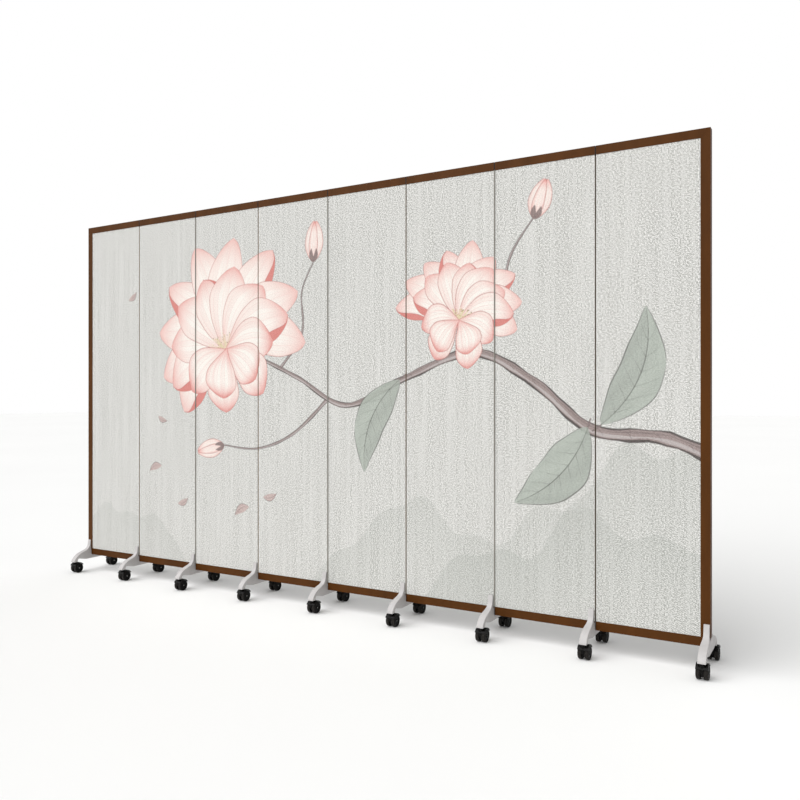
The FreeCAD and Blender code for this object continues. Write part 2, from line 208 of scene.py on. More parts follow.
def add_node(tree, kind, values=None, output=0, **options):
    """Adds a node with sockets or plain values as its inputs, and gives this output, or the node for None."""
    node = tree.nodes.new(kind)
    for name, value in options.items():
        setattr(node, name, value)
    for name, value in (values or {}).items():
        if isinstance(value, bpy.types.NodeSocket):
            tree.links.new(value, node.inputs[name])
        else:
            node.inputs[name].default_value = value
    return node if output is None else node.outputs[output]


def new_material(name, **shader_values):
    """A material with its shader's plain values set, and its tree, shader and Object coordinates."""
    material = bpy.data.materials.new(name)
    material.use_nodes = True
    tree = material.node_tree
    shader = tree.nodes["Principled BSDF"]
    for socket, value in shader_values.items():
        shader.inputs[socket.replace("_", " ")].default_value = value
    return material, tree, shader, add_node(tree, "ShaderNodeTexCoord", output="Object")


def grained(
    name, rgb, grain, rough, depth, dark=1.0, pale=1.0, detail=3.0, spread=(0.32, 0.68), peel=None, worn=None,
    **shader_values
):
    """A material with one noise in its colour, its roughness and its relief.

    The grain is the noise's size along each axis, dark and pale are the colour's shares at its ends, and the
    spread is the part of the noise in use. A peel is the size and the depth of a finer relief on top. Worn
    names an attribute, and a colour that takes the pale one's place as far as the attribute says.
    """
    material, tree, shader, place = new_material(name, **shader_values)
    scale = tuple(1 / (size * MM) for size in grain)
    stretched = add_node(tree, "ShaderNodeMapping", {"Vector": place, "Scale": scale})
    pattern = add_node(tree, NOISE, {"Vector": stretched, "Scale": 1.0, "Detail": detail, "Roughness": 0.6})
    part = add_node(tree, RANGE, {"Value": pattern, "From Min": spread[0], "From Max": spread[1]})
    gloss = add_node(tree, RANGE, {"Value": part, "To Min": rough[0], "To Max": rough[1]})
    relief = add_node(tree, BUMP, {"Height": pattern, "Distance": depth * MM})
    first, second = ([min(1.0, level * share) for level in rgb] for share in (dark, pale))
    if worn:
        attribute, second = worn
        marked = add_node(tree, "ShaderNodeAttribute", output="Fac", attribute_name=attribute)
        part = add_node(tree, MATH, {0: marked, 1: part}, operation="MULTIPLY")
    tint = add_node(tree, MIX, {0: part, 6: (*first, 1.0), 7: (*second, 1.0)}, 2, data_type="RGBA")
    if peel:
        fine = add_node(tree, NOISE, {"Vector": place, "Scale": 1 / (peel[0] * MM), "Detail": 1.0})
        relief = add_node(tree, BUMP, {"Height": fine, "Distance": peel[1] * MM, "Normal": relief})
    for socket, value in (("Base Color", tint), ("Roughness", gloss), ("Normal", relief)):
        tree.links.new(value, shader.inputs[socket])
    return material


def brown_powder_coat(finish):
    """Powder-coated aluminium extrusion: an even satin brown film with the faint orange peel of curing."""
    return grained(
        "powder_coated_aluminium_brown", finish.coat, grain=(60, 60, 300), rough=(0.5, 0.4), depth=0.1,
        dark=0.88, pale=1.14, peel=(1.6, 0.02), Specular_IOR_Level=0.1,
    )


def moulded_plug(finish):
    """Injection-moulded polypropylene: dull dark brown with the fine spark-eroded grain of its mould."""
    return grained(
        "moulded_polypropylene_brown", finish.plug, grain=(0.9, 0.9, 0.9), rough=(0.62, 0.5), depth=0.03,
        dark=0.8, detail=4.0, IOR=1.49,
    )


def rolled_steel(name, rgb, gloss):
    """Rolled and zinc-plated steel: fine lines along the rolling direction and a slightly uneven plating."""
    uneven = (gloss + 0.12, gloss - 0.05)
    return grained(name, rgb, grain=(0.6, 0.6, 40), rough=uneven, depth=0.01, dark=0.78, Metallic=0.85)


def planed_pine(finish):
    """Planed pine laths under no finish: long growth-ring streaks that run up the piece."""
    return grained(
        "planed_pine", finish.timber, grain=(4, 4, 240), rough=(0.62, 0.75), depth=0.08,
        dark=0.62, detail=4.0,
    )


def pressed_fibreboard(finish):
    """Pressed wood fibre: a brown felt-like sheet with short fibres lying every way."""
    return grained(
        "pressed_fibreboard", finish.facing, grain=(1.5, 1.5, 2.5), rough=(0.8, 0.9), depth=0.05,
        dark=0.72, detail=5.0,
    )


def grey_foot_coat(finish):
    """Die-cast aluminium under a light grey satin powder coat, with the casting's faint unevenness below."""
    return grained(
        "die_cast_aluminium_grey_coat", finish.paint, grain=(28, 28, 28), rough=(0.5, 0.38), depth=0.12,
        dark=0.93, peel=(2.2, 0.03), Specular_IOR_Level=0.35,
    )


def glossy_nylon(finish):
    """Moulded black nylon, polished by its mould: a deep gloss with soft waves and hairline scuffs."""
    return grained(
        "moulded_nylon_gloss_black", finish.hood, grain=(3, 12, 3), rough=(0.24, 0.4), depth=0.01,
        pale=1.8, detail=5.0, spread=(0.5, 0.8), peel=(9, 0.05), IOR=1.53, Specular_IOR_Level=0.1,
    )


def wheel_nylon(finish):
    """Matt black wheel nylon, whose tread picks up grey dust and fine scratches from the floor."""
    return grained(
        "moulded_nylon_wheel_black", finish.tyre, grain=(5, 2, 2), rough=(0.4, 0.55), depth=0.03,
        detail=6.0, worn=("tread", finish.dust), IOR=1.53, Specular_IOR_Level=0.08,
    )


def woven_cloth(finish, printed):
    """Slubby plain-woven polyester: matt, pitted between its threads, with pigment on top where printed.

    The real threads lie under a millimetre apart, which doesn't show from across a room. The pits between
    them and the short thick runs of weft that give this cloth its fleck are drawn coarser. The pits are
    darkened in colour, which is painted shade, while the runs of weft are the yarn's own uneven tone.
    """
    material, tree, shader, place = new_material(
        "woven_polyester_printed" if printed else "woven_polyester_plain",
        Roughness=0.9, Specular_IOR_Level=0.25, Sheen_Weight=0.1, Sheen_Roughness=0.5,
    )
    layers = []
    for across, up, detail in (
        (finish.pit, finish.pit * 0.8, 1.0),
        (finish.slub, finish.pit * 0.7, 2.0),
        (finish.band, finish.band * 30, 2.0),
    ):
        flat = add_node(tree, "ShaderNodeMapping", {"Vector": place, "Scale": (1 / across, 0.0, 1 / up)})
        noise = {"Vector": flat, "Scale": 1.0, "Detail": detail, "Roughness": 0.6}
        layers.append(add_node(tree, NOISE, noise))
    pits, weft, bands = layers
    axes = add_node(tree, "ShaderNodeSeparateXYZ", {0: place}, None).outputs
    wander_size, wander_turn = 18 * MM, 14.0  # how soon and how far, in radians, a thread leaves its line
    wander = add_node(tree, NOISE, {"Vector": place, "Scale": 1 / wander_size, "Detail": 2.0})
    drift = add_node(tree, MATH, {0: wander, 1: wander_turn}, operation="MULTIPLY")
    waves = []
    for axis, closeness in (("X", 1.0), ("Z", 1.35)):
        turns = closeness * 2 * math.pi / finish.thread
        turn = add_node(tree, MATH, {0: axes[axis], 1: turns, 2: drift}, operation="MULTIPLY_ADD")
        waves.append(add_node(tree, MATH, {0: turn}, operation="SINE"))
    basket = add_node(tree, MATH, {0: waves[0], 1: waves[1]}, operation="MULTIPLY")
    both = add_node(tree, MIX, {0: finish.weft_share, 2: pits, 3: weft})
    woven = add_node(tree, MATH, {0: basket, 1: finish.basket, 2: both}, operation="MULTIPLY_ADD")
    # A tight band of the weave is darker than a loose one, and its fleck stands out more
    ends = {"From Min": 0.38, "From Max": 0.62, "To Min": finish.loose, "To Max": finish.tight}
    strength = add_node(tree, RANGE, {"Value": bands, **ends})
    column = add_node(tree, RANGE, {"Value": bands, "To Min": 0.72, "To Max": 0.28})
    around = add_node(tree, MATH, {0: woven, 1: 0.5}, operation="SUBTRACT")
    marks = {0: around, 1: strength, 2: column}
    fleck = add_node(tree, MATH, marks, operation="MULTIPLY_ADD", use_clamp=True)
    # Painted shade: the fleck darkens the cloth toward the shade colour in the pits between threads, on top
    # of the yarn's own uneven tone
    pale, dark = (*finish.ground, 1.0), (*finish.shade, 1.0)
    surface = add_node(tree, MIX, {0: fleck, 6: dark, 7: pale}, 2, data_type="RGBA")
    if printed:
        # The pigment covers the raised threads a little less. It takes painted shade in the pits between them
        # and a slight painted highlight on the raised threads
        pigment = add_node(tree, "ShaderNodeVertexColor", output=None, layer_name="pigment").outputs
        threads = add_node(tree, RANGE, {"Value": fleck, "To Min": 1.0, "To Max": 0.93})
        cover = add_node(tree, MATH, {0: pigment["Alpha"], 1: threads}, operation="MULTIPLY")
        # Painted shade in the pits and a slight painted highlight on the raised threads
        depth = add_node(tree, RANGE, {"Value": fleck, "To Min": 0.89, "To Max": 1.06})
        tone = add_node(tree, "ShaderNodeCombineColor", {0: depth, 1: depth, 2: depth})
        colours = {0: 1.0, 6: pigment["Color"], 7: tone}
        dyed = add_node(tree, MIX, colours, 2, data_type="RGBA", blend_type="MULTIPLY")
        surface = add_node(tree, MIX, {0: cover, 6: surface, 7: dyed}, 2, data_type="RGBA")
    tree.links.new(surface, shader.inputs["Base Color"])
    relief = add_node(tree, BUMP, {"Height": fleck, "Distance": 0.3 * MM})
    tree.links.new(relief, shader.inputs["Normal"])
    return material


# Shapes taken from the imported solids


def closed_solids(node):
    """The closed solids of a CAD node, each as its triangles of rounded corner points."""
    mesh = frame["nodes"][node].data
    corners = [tuple(round(part, 6) for part in vertex.co) for vertex in mesh.vertices]
    solids, current, unmatched = [], [], set()
    # A solid's triangles follow each other, and it is complete once each edge has met its opposite
    for polygon in mesh.polygons:
        ring = [corners[index] for index in polygon.vertices]
        current.append(ring)
        for start, end in zip(ring, ring[1:] + ring[:1]):
            if start != end:
                unmatched ^= {(end, start) if (end, start) in unmatched else (start, end)}
        if not unmatched:
            solids.append(current)
            current = []
    return solids


def extent(rings):
    """The lowest and highest corner of a solid."""
    points = [point for ring in rings for point in ring]
    return Vector(map(min, zip(*points))), Vector(map(max, zip(*points)))


def size_of(rings):
    low, high = extent(rings)
    return high - low


def link(name, mesh):
    piece = bpy.data.objects.new(name, mesh)
    bpy.context.scene.collection.objects.link(piece)
    return piece


def plain_mesh(piece, name):
    """Turns a piece with modifiers into a plain mesh of the shape they give it."""
    graph = bpy.context.evaluated_depsgraph_get()
    shape = piece.evaluated_get(graph)
    mesh = bpy.data.meshes.new_from_object(shape, preserve_all_data_layers=True, depsgraph=graph)
    mesh.name = name
    piece.modifiers.clear()
    piece.data = mesh
    return piece


def shade_smooth(mesh):
    mesh.polygons.foreach_set("use_smooth", [True] * len(mesh.polygons))
    mesh.set_sharp_from_angle(angle=SHARP)


def dressed(name, solids, material, edge_radius=0.0, least_edge=3 * MM):
    """A piece of one material made of solids: flat areas joined, edges over the least length rounded."""
    shape = bmesh.new()
    for rings in solids:
        made = {}
        for ring in rings:
            for point in ring:
                if point not in made:
                    made[point] = shape.verts.new(point)
            if len(set(ring)) == 3:
                shape.faces.new([made[point] for point in ring])
    bmesh.ops.dissolve_limit(
        shape, angle_limit=math.radians(0.5), verts=shape.verts[:], edges=shape.edges[:],
        use_dissolve_boundaries=False,
    )
    weight = shape.edges.layers.float.new("bevel_weight_edge")
    for edge in shape.edges:
        long = edge.calc_length() > least_edge
        if long and len(edge.link_faces) == 2 and edge.calc_face_angle() > SHARP:
            edge[weight] = 1.0
    mesh = bpy.data.meshes.new(name)
    shape.to_mesh(mesh)
    shape.free()
    shade_smooth(mesh)
    mesh.materials.append(material)
    piece = link(name, mesh)
    if edge_radius > 0:
        bevel = piece.modifiers.new("rounding", "BEVEL")
        bevel.width = edge_radius
        bevel.segments = 3
        bevel.limit_method = "WEIGHT"
        bevel.use_clamp_overlap = False
        bevel.harden_normals = True
        plain_mesh(piece, name)
    return piece


def carried(piece, body, slot, *nodes):
    """Sets a finished piece on its body, in the place of the CAD nodes it stands for, and hides those nodes.
    The slot is not used.
    """
    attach(piece, body)
    if nodes:
        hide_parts(*nodes)
    return piece


def body_of_node(node):
    return next(body for body, nodes in frame["record"]["behaviour"]["bodies"].items() if node in nodes)


# Screws


def screw_place(rings):
    """The middle of a screw's head and the way the head faces."""
    low, high = extent(rings)
    sizes = high - low
    axis = max(range(3), key=lambda index: sizes[index])
    middle = (low + high) / 2
    points = [Vector(point) for ring in rings for point in ring]
    # The head is at the end whose corners lie farthest from the middle
    reach = {}
    for end in (low, high):
        on_end = (point for point in points if abs(point[axis] - end[axis]) < 0.01 * MM)
        reach[max((point - middle).length for point in on_end)] = end
    place = middle.copy()
    place[axis] = reach[max(reach)][axis]
    return place, (place - middle).normalized()


def screw_tree(material):
    """Countersunk screws with a cross recess, one on each point of a mesh, turned by its attribute 'turn'."""
    tree = bpy.data.node_groups.new("countersunk_screws", "GeometryNodeTree")
    tree.interface.new_socket("Geometry", in_out="INPUT", socket_type="NodeSocketGeometry")
    for name in ("Head radius", "Shank radius", "Head height", "Length"):
        tree.interface.new_socket(name, in_out="INPUT", socket_type="NodeSocketFloat")
    tree.interface.new_socket("Geometry", in_out="OUTPUT", socket_type="NodeSocketGeometry")
    given = add_node(tree, "NodeGroupInput", output=None).outputs
    cone = {"Vertices": 24, "Radius Top": given["Head radius"], "Radius Bottom": given["Shank radius"]}
    head = add_node(tree, "GeometryNodeMeshCone", {**cone, "Depth": given["Head height"]})
    drop = add_node(tree, MATH, {0: given["Head height"], 1: -1.0}, operation="MULTIPLY")
    down = add_node(tree, "ShaderNodeCombineXYZ", {"Z": drop})
    head = add_node(tree, "GeometryNodeTransform", {"Geometry": head, "Translation": down})
    cut = add_node(tree, "GeometryNodeMeshBoolean", {"Mesh 1": head}, None, operation="DIFFERENCE")
    long, thin = (
        add_node(tree, MATH, {0: given["Head radius"], 1: times}, operation="MULTIPLY")
        for times in (1.15, 0.26)
    )
    for across, along in ((long, thin), (thin, long)):
        size = add_node(tree, "ShaderNodeCombineXYZ", {"X": across, "Y": along, "Z": given["Head height"]})
        tree.links.new(add_node(tree, "GeometryNodeMeshCube", {"Size": size}), cut.inputs["Mesh 2"])
    ends = {0: given["Length"], 1: given["Head height"]}
    shank_length = add_node(tree, MATH, ends, operation="SUBTRACT")
    rod = {"Vertices": 16, "Radius": given["Shank radius"], "Depth": shank_length}
    shank = add_node(tree, "GeometryNodeMeshCylinder", rod)
    whole_length = add_node(tree, MATH, ends)
    half = add_node(tree, MATH, {0: whole_length, 1: -0.5}, operation="MULTIPLY")
    middle = add_node(tree, "ShaderNodeCombineXYZ", {"Z": half})
    shank = add_node(tree, "GeometryNodeTransform", {"Geometry": shank, "Translation": middle})
    whole = add_node(tree, "GeometryNodeJoinGeometry", output=None)
    for part in (cut.outputs["Mesh"], shank):
        tree.links.new(part, whole.inputs["Geometry"])
    named = {"Name": "turn"}
    turn = add_node(tree, "GeometryNodeInputNamedAttribute", named, "Attribute", data_type="FLOAT_VECTOR")
    rows = {"Points": given["Geometry"], "Instance": whole.outputs[0], "Rotation": turn}
    rows = add_node(tree, "GeometryNodeInstanceOnPoints", rows)
    real = add_node(tree, "GeometryNodeRealizeInstances", {"Geometry": rows})
    finished = add_node(tree, "GeometryNodeSetMaterial", {"Geometry": real, "Material": material})
    add_node(tree, "NodeGroupOutput", {"Geometry": finished}, None)
    return tree


def screws(name, solids, tree):
    """One mesh of all these screws, with their sizes read from the first."""
    places = [screw_place(rings) for rings in solids]
    mesh = bpy.data.meshes.new(name)
    mesh.from_pydata([place for place, _ in places], [], [])
    turns = mesh.attributes.new("turn", "FLOAT_VECTOR", "POINT")
    for index, (_, outward) in enumerate(places):
        turns.data[index].vector = outward.to_track_quat("Z", "Y").to_euler()
    piece = link(name, mesh)
    place, outward = places[0]
    profile = {}  # the radius at each depth below the head's face
    for ring in solids[0]:
        for point in ring:
            along = Vector(point) - place
            depth = round(-along.dot(outward), 6)
            radius = (along + outward * depth).length
            profile[depth] = max(profile.get(depth, 0.0), radius)
    depths = sorted(profile)
    sizes = {
        "Head radius": profile[depths[0]],
        "Shank radius": profile[depths[-1]],
        "Head height": depths[1],
        "Length": depths[-1],
    }
    modifier = piece.modifiers.new("screws", "NODES")
    modifier.node_group = tree
    for socket in tree.interface.items_tree:
        if socket.in_out == "INPUT" and socket.name in sizes:
            modifier[socket.identifier] = sizes[socket.name]
    mesh = plain_mesh(piece, name).data
    material = mesh.materials[-1]
    mesh.materials.clear()
    mesh.materials.append(material)
    mesh.polygons.foreach_set("material_index", [0] * len(mesh.polygons))
    shade_smooth(mesh)
    return piece


def split(node, kinds):
    """Sorts a node's solids: each goes to the first kind whose test its size passes."""
    sorted_solids = {kind: [] for kind, _ in kinds}
    for rings in closed_solids(node):
        kind = next(kind for kind, test in kinds if test(size_of(rings)))
        sorted_solids[kind].append(rings)
    return sorted_solids


# What tells a node's solids apart, tried in this order
FRAME_KINDS = (
    ("hinge_screws", lambda size: sorted(size)[1] < 8 * MM and max(size) < 20 * MM),
    ("rail_screws", lambda size: sorted(size)[1] < 8 * MM and max(size) < 50 * MM),
    ("pins", lambda size: max(size) > 1.0 and sorted(size)[1] < 6 * MM),
    ("leaves", lambda size: max(size) > 1.0 and sorted(size)[1] < 30 * MM),
    ("plugs", lambda size: max(size) < 60 * MM),
    ("rails", lambda size: True),
)
BOARD_KINDS = (
    ("cloth", lambda size: min(size) < 1.5 * MM),
    ("facings", lambda size: min(size) < 5 * MM),
    ("ladder", lambda size: True),
)
FOOT_KINDS = (
    ("screws", lambda size: max(size) < 50 * MM),
    ("castings", lambda size: True),
)


# The print: flat shapes of pigment, one over the other on a fine grid that gives the cloth its colours


class Ink:
    """One painted shape: its outline on the cloth, as x and z, and its colour and cover at points."""

    def __init__(self, outline, rgb, alpha=1.0, wash=None):
        self.outline = outline
        self.wash = wash or (lambda x, z: (np.array(rgb), alpha))
        xs, zs = zip(*outline)
        self.low, self.high = (min(xs), min(zs)), (max(xs), max(zs))

    def meets(self, low, high):
        return all(self.low[k] < high[k] and self.high[k] > low[k] for k in (0, 1))


def mixed(first, second, share):
    """Two colours mixed by a share, or by one share for each of many points."""
    share = np.clip(share, 0.0, 1.0)[..., None]
    return np.array(first) * (1 - share) + np.array(second) * share


def smooth_path(points, steps=8):
    """A curve through hand-set points, each with any number of values, as more points."""
    ends = [points[0]] + list(points) + [points[-1]]
    path = []
    for before, start, end, after in zip(ends, ends[1:], ends[2:], ends[3:]):
        for step in range(steps):
            t = step / steps
            path.append(tuple(
                0.5 * (
                    2 * b + (c - a) * t + (2 * a - 5 * b + 4 * c - d) * t**2 + (3 * b - 3 * c + d - a) * t**3
                )
                for a, b, c, d in zip(before, start, end, after)
            ))
    return path + [tuple(points[-1])]


def beside(path, shares):
    """Each point of a path of x, z and half-width, moved sideways by its share of the half-width."""
    moved = []
    for index, ((x, z, half), share) in enumerate(zip(path, shares)):
        before, after = path[max(0, index - 1)], path[min(len(path) - 1, index + 1)]
        run = Vector((after[0] - before[0], after[1] - before[1]))
        side = Vector((-run.y, run.x)).normalized() * half * share
        moved.append((x + side.x, z + side.y))
    return moved


def stroke(path, rgb, alpha):
    """A brush stroke along a path of x, z and half-width."""
    ones = [1.0] * len(path)
    return Ink(beside(path, ones) + beside(path, [-one for one in ones])[::-1], rgb, alpha)


class Blade:
    """A petal's or a leaf's own frame: t runs from its base to its tip, and s across, from -1 to 1.

    Bow is how far it bends to one side, as a share of its length, and belly is the t where it is widest. The
    lower blunt is, the rounder are its ends. Wave is how far its edges ripple.
    """

    def __init__(self, base, tip, half_width, bow=0.0, belly=0.6, blunt=0.75, wave=0.0):
        self.base, self.tip = Vector(base), Vector(tip)
        self.length = (self.tip - self.base).length
        self.axis = (self.tip - self.base) / self.length
        self.side = Vector((-self.axis.y, self.axis.x))
        self.half_width, self.bow, self.blunt, self.wave = half_width, bow * self.length, blunt, wave
        self.power = math.log(0.5) / math.log(belly)

    def half(self, t):
        swell = np.clip(np.sin(math.pi * np.clip(t, 0.0, 1.0) ** self.power), 0.0, 1.0) ** self.blunt
        return self.half_width * swell * (1 + self.wave * np.sin(17 * t + 5 * self.length))

    def at(self, t, s):
        across = self.bow * 4 * t * (1 - t) + s * float(self.half(t))
        point = self.base + self.axis * self.length * t + self.side * across
        return point.x, point.y

    def locate(self, x, z):
        along, across = [
            (x - self.base.x) * way.x + (z - self.base.y) * way.y for way in (self.axis, self.side)
        ]
        t = np.clip(along / self.length, 0.0, 1.0)
        half = np.maximum(self.half(t), 0.1 * MM)
        return t, np.clip((across - self.bow * 4 * t * (1 - t)) / half, -1.0, 1.0)

    def outline(self, steps=26):
        marks = [step / steps for step in range(steps + 1)]
        return [self.at(t, 1) for t in marks] + [self.at(t, -1) for t in reversed(marks[1:-1])]

    def line(self, s, start, end, width, rgb, alpha, steps=14):
        """A stroke along the blade at one s, thin at both ends. Its half-width is in millimetres."""
        path = []
        for step in range(steps + 1):
            u = step / steps
            half = width * MM * (0.3 + 0.7 * math.sin(math.pi * u))
            path.append((*self.at(start + (end - start) * u, s), half))
        return stroke(path, rgb, alpha)


def petal(design, base, tip, half_width, bow=0.0, belly=0.62, tone=1.0, lip=0):
    """One petal: deep pink at its foot and rim, pale between, with fine veins and a drawn edge.

    The tone deepens its pinks. Lip is the side, -1 or 1, where its edge turns over, or 0 where none does.
    """
    blade = Blade(base, tip, half_width, bow, belly, 0.7, 0.02)
    deep, mid, pale = (tuple(getattr(design, "petal_" + name)) for name in ("deep", "mid", "pale"))
    dark = mixed(deep, design.line, 0.35)

    def wash(x, z):
        t, s = blade.locate(x, z)
        foot = np.clip(1 - t / 0.5, 0.0, 1.0) ** 1.6
        rim = np.clip((t - 0.66) / 0.34, 0.0, 1.0) ** 1.7
        streak = 0.07 * np.sin(11 * s + 2 * blade.length) * np.sin(math.pi * t)
        strength = tone * (0.5 * foot + 0.72 * rim + 0.3 * abs(s) ** 3 + streak)
        return mixed(mixed(pale, mid, strength * 1.5), deep, (strength - 0.55) * 1.5), 0.97

    vein = mixed(mid, deep, 0.35)
    inks = [Ink(blade.outline(), pale, wash=wash)]
    inks += [blade.line(n * 0.26, 0.1, 0.93 - 0.05 * abs(n), 0.9, vein, 0.45) for n in range(-3, 4)]
    inks += [blade.line(s, 0.02, 0.99, 1.5, dark, 0.75, 24) for s in (-1, 1)]
    if lip:
        turned = [blade.at(t / 20, lip) for t in range(9, 21)]
        inner = [blade.at(t / 20, lip * (1 - 0.42 * math.sin(math.pi * (t - 9) / 11))) for t in range(9, 21)]
        inks.append(Ink(turned + inner[::-1], mixed(mid, deep, 0.75), 0.95))
        inks.append(stroke([(*point, 1.1 * MM) for point in inner], dark, 0.7))
    return inks


def leaf(design, base, tip, half_width, bow):
    """One broad leaf and its stalk: a grey green wash, darker on one side, with ribs and a broken edge."""
    blade = Blade(base, tip, half_width, bow, 0.45, 0.85, 0.03)
    green, ink = tuple(design.leaf), tuple(design.line)

    def wash(x, z):
        t, s = blade.locate(x, z)
        shade = 0.16 + 0.18 * (s > 0) + 0.2 * np.clip(0.35 - t, 0.0, 1.0) + 0.08 * np.sin(14 * t + 6 * s)
        return mixed(green, ink, shade * 0.55), 0.86

    stalk = [(*blade.at(t / 40, 0), 3.2 * MM) for t in range(-3, 2)]
    stalk = stroke(stalk, mixed(design.bark, ink, 0.4), 0.9)
    inks = [stalk, Ink(blade.outline(), green, wash=wash), blade.line(0.0, 0.0, 0.97, 1.9, ink, 0.7, 22)]
    for step in range(1, 7):
        for s in (-1, 1):
            rib = [(*blade.at(step / 8 + 0.14 * u / 6, s * u / 6.6), MM * (1.1 - u / 7)) for u in range(7)]
            inks.append(stroke(rib, ink, 0.42))
    for s, start, end, width in ((1, 0.02, 0.98, 2.3), (-1, 0.05, 0.6, 1.7), (-1, 0.66, 0.99, 1.7)):
        inks.append(blade.line(s, start, end, width, ink, 0.75, 24))
    return inks


def branch(design, points, chance):
    """A woody branch: a mauve wash between two dark edges, with a pale side, knots and short bark strokes."""
    bark, ink = tuple(design.bark), tuple(design.line)
    rough = [
        (x, z, half * (1 + 0.1 * math.sin(index * 1.7) + chance.uniform(-0.05, 0.05)))
        for index, (x, z, half) in enumerate(smooth_path(points))
    ]
    inks = [stroke(rough, bark, 0.92)]
    for share, width, rgb, alpha in (
        (0.86, 0.17, ink, 0.85), (-0.9, 0.12, ink, 0.8),
        (0.3, 0.2, mixed(bark, (1, 1, 1), 0.45), 0.5), (-0.45, 0.1, mixed(bark, ink, 0.6), 0.5),
    ):
        line = []
        for index, (x, z) in enumerate(beside(rough, [share] * len(rough))):
            pressure = 1 + 0.5 * math.sin(index * 0.9 + share * 5)
            line.append((x, z, max(rough[index][2] * width * pressure, 0.9 * MM)))
        inks.append(stroke(line, rgb, alpha))
    for x, z, half in rough[3:-3:3]:
        ring = [
            (x + half * 0.7 * (u / 4 - 0.5), z + half * (0.6 * (0.5 - u / 4) + 0.2 * math.sin(u)), MM)
            for u in range(5)
        ]
        inks.append(stroke(ring, ink, 0.5))
    return inks


def stamens(design, middle, radius, turn, chance):
    """Short pale threads round the middle of a flower, each with a grain of pollen at its end."""
    inks = []
    for _ in range(70):
        angle = turn + math.radians(chance.uniform(-85, 85))
        far = radius * chance.uniform(0.13, 0.27)
        way = Vector((math.sin(angle), math.cos(angle) * 0.75))
        foot, end = middle + way * far * 0.3, middle + way * far
        inks.append(stroke([(foot.x, foot.y, 1.0 * MM), (end.x, end.y, 1.1 * MM)], srgb("#D9CBA6"), 0.9))
        grain = [(end.x + 3.0 * MM * math.cos(u), end.y + 2.6 * MM * math.sin(u)) for u in range(6)]
        inks.append(Ink(grain, srgb(chance.choice(("#C9B27C", "#8C7A55", "#E7DDC0"))), 0.95))
    return inks


def bloom(design, middle, radius, turn, chance, openness=1.0):
    """A many-petalled open flower seen from the side and above, with its stamens and its front petals."""
    middle = Vector(middle)
    inks = []

    def row(count, reach, width, spread, tone, lift, front=False):
        """Petals side by side over a spread of degrees, above the middle or, in front of it, below."""
        bend = -0.18 if front else 0.16
        for step in range(count):
            place = step / (count - 1) - 0.5
            angle = turn + (math.pi if front else 0.0) + math.radians(spread) * place
            way = Vector((math.sin(angle), math.cos(angle)))
            far = radius * reach * (1 + chance.uniform(-0.07, 0.07)) * (1.0 - 0.12 * abs(place))
            tip = middle + way * far + Vector((0, radius * lift))
            bow = bend * (1 if place > 0 else -1) * (0.3 + abs(place)) + chance.uniform(-0.03, 0.03)
            lip = 0 if step % 3 or front else (1 if place < 0 else -1)
            yield from petal(design, middle - way * radius * 0.05, tip, radius * width, bow, 0.64, tone, lip)

    inks += row(9, 1.0, 0.215, 232 * openness, tone=0.75, lift=0.10)
    inks += row(7, 0.82, 0.23, 183 * openness, tone=0.9, lift=0.02)
    inks += stamens(design, middle, radius, turn, chance)
    inks += row(4, 0.62, 0.2, 150, tone=1.15, lift=0.0, front=True)
    inks += row(2, 0.5, 0.2, 60, tone=1.3, lift=0.0, front=True)
    return inks


def bud(design, base, tip, half_width):
    """A closed flower: three folded petals in two small scales."""
    base, tip = Vector(base), Vector(tip)
    side = Vector((-(tip - base).y, (tip - base).x)).normalized() * half_width * 0.4
    inks = petal(design, base, tip + side * 0.5, half_width * 0.8, bow=0.1, belly=0.45, tone=0.9)
    inks += petal(design, base, tip - side * 0.6, half_width * 0.8, bow=-0.1, belly=0.45, tone=1.0)
    inks += petal(design, base, tip, half_width * 0.7, bow=0.02, belly=0.4, tone=1.25)
    for sign in (-1, 1):
        scale = Blade(base, base + (tip - base) * 0.34 + side * sign, half_width * 0.34, 0.1 * sign, 0.4)
        inks.append(Ink(scale.outline(12), mixed(design.bark, design.line, 0.35), 0.9))
    return inks


def hills(design, corner, right, height, phase, strength):
    """One far ridge from its lower left corner: a wash, darkest along its crest, that fades downwards."""
    left, foot = corner

    def crest(x):
        u = (x - left) / (right - left)
        rise = np.sin(math.pi * np.clip(u, 0.0, 1.0)) ** 0.8
        jag = 0.16 * np.sin(9 * u + phase) + 0.08 * np.sin(23 * u + 2 * phase) + 0.03 * np.sin(61 * u)
        return foot + height * np.clip(rise * (0.84 + jag), 0.0, 2.0)

    def wash(x, z):
        depth = (crest(x) - z) / height
        return np.array(tuple(design.hill)), strength * np.clip(1 - depth / 0.85, 0.0, 1.0) ** 1.6

    xs = np.linspace(left, right, 160)
    outline = list(zip(xs, crest(xs) + 0.1 * MM)) + [(right, foot - 1 * MM), (left, foot - 1 * MM)]
    return [Ink(outline, design.hill, wash=wash)]


def drifting_petal(design, place, size, angle):
    """One small fallen petal in grey and pink, with its stalk."""
    way = Vector((math.cos(angle), math.sin(angle))) * size
    blade = Blade(place, Vector(place) + way, size * 0.2, 0.12, 0.55, 0.9)
    return [
        Ink(blade.outline(12), mixed(design.petal_mid, design.line, 0.45), 0.55),
        blade.line(1, 0.03, 0.97, 1.5, design.line, 0.7, 12),
        blade.line(0.1, -0.12, 0.8, 1.1, design.line, 0.6, 10),
    ]


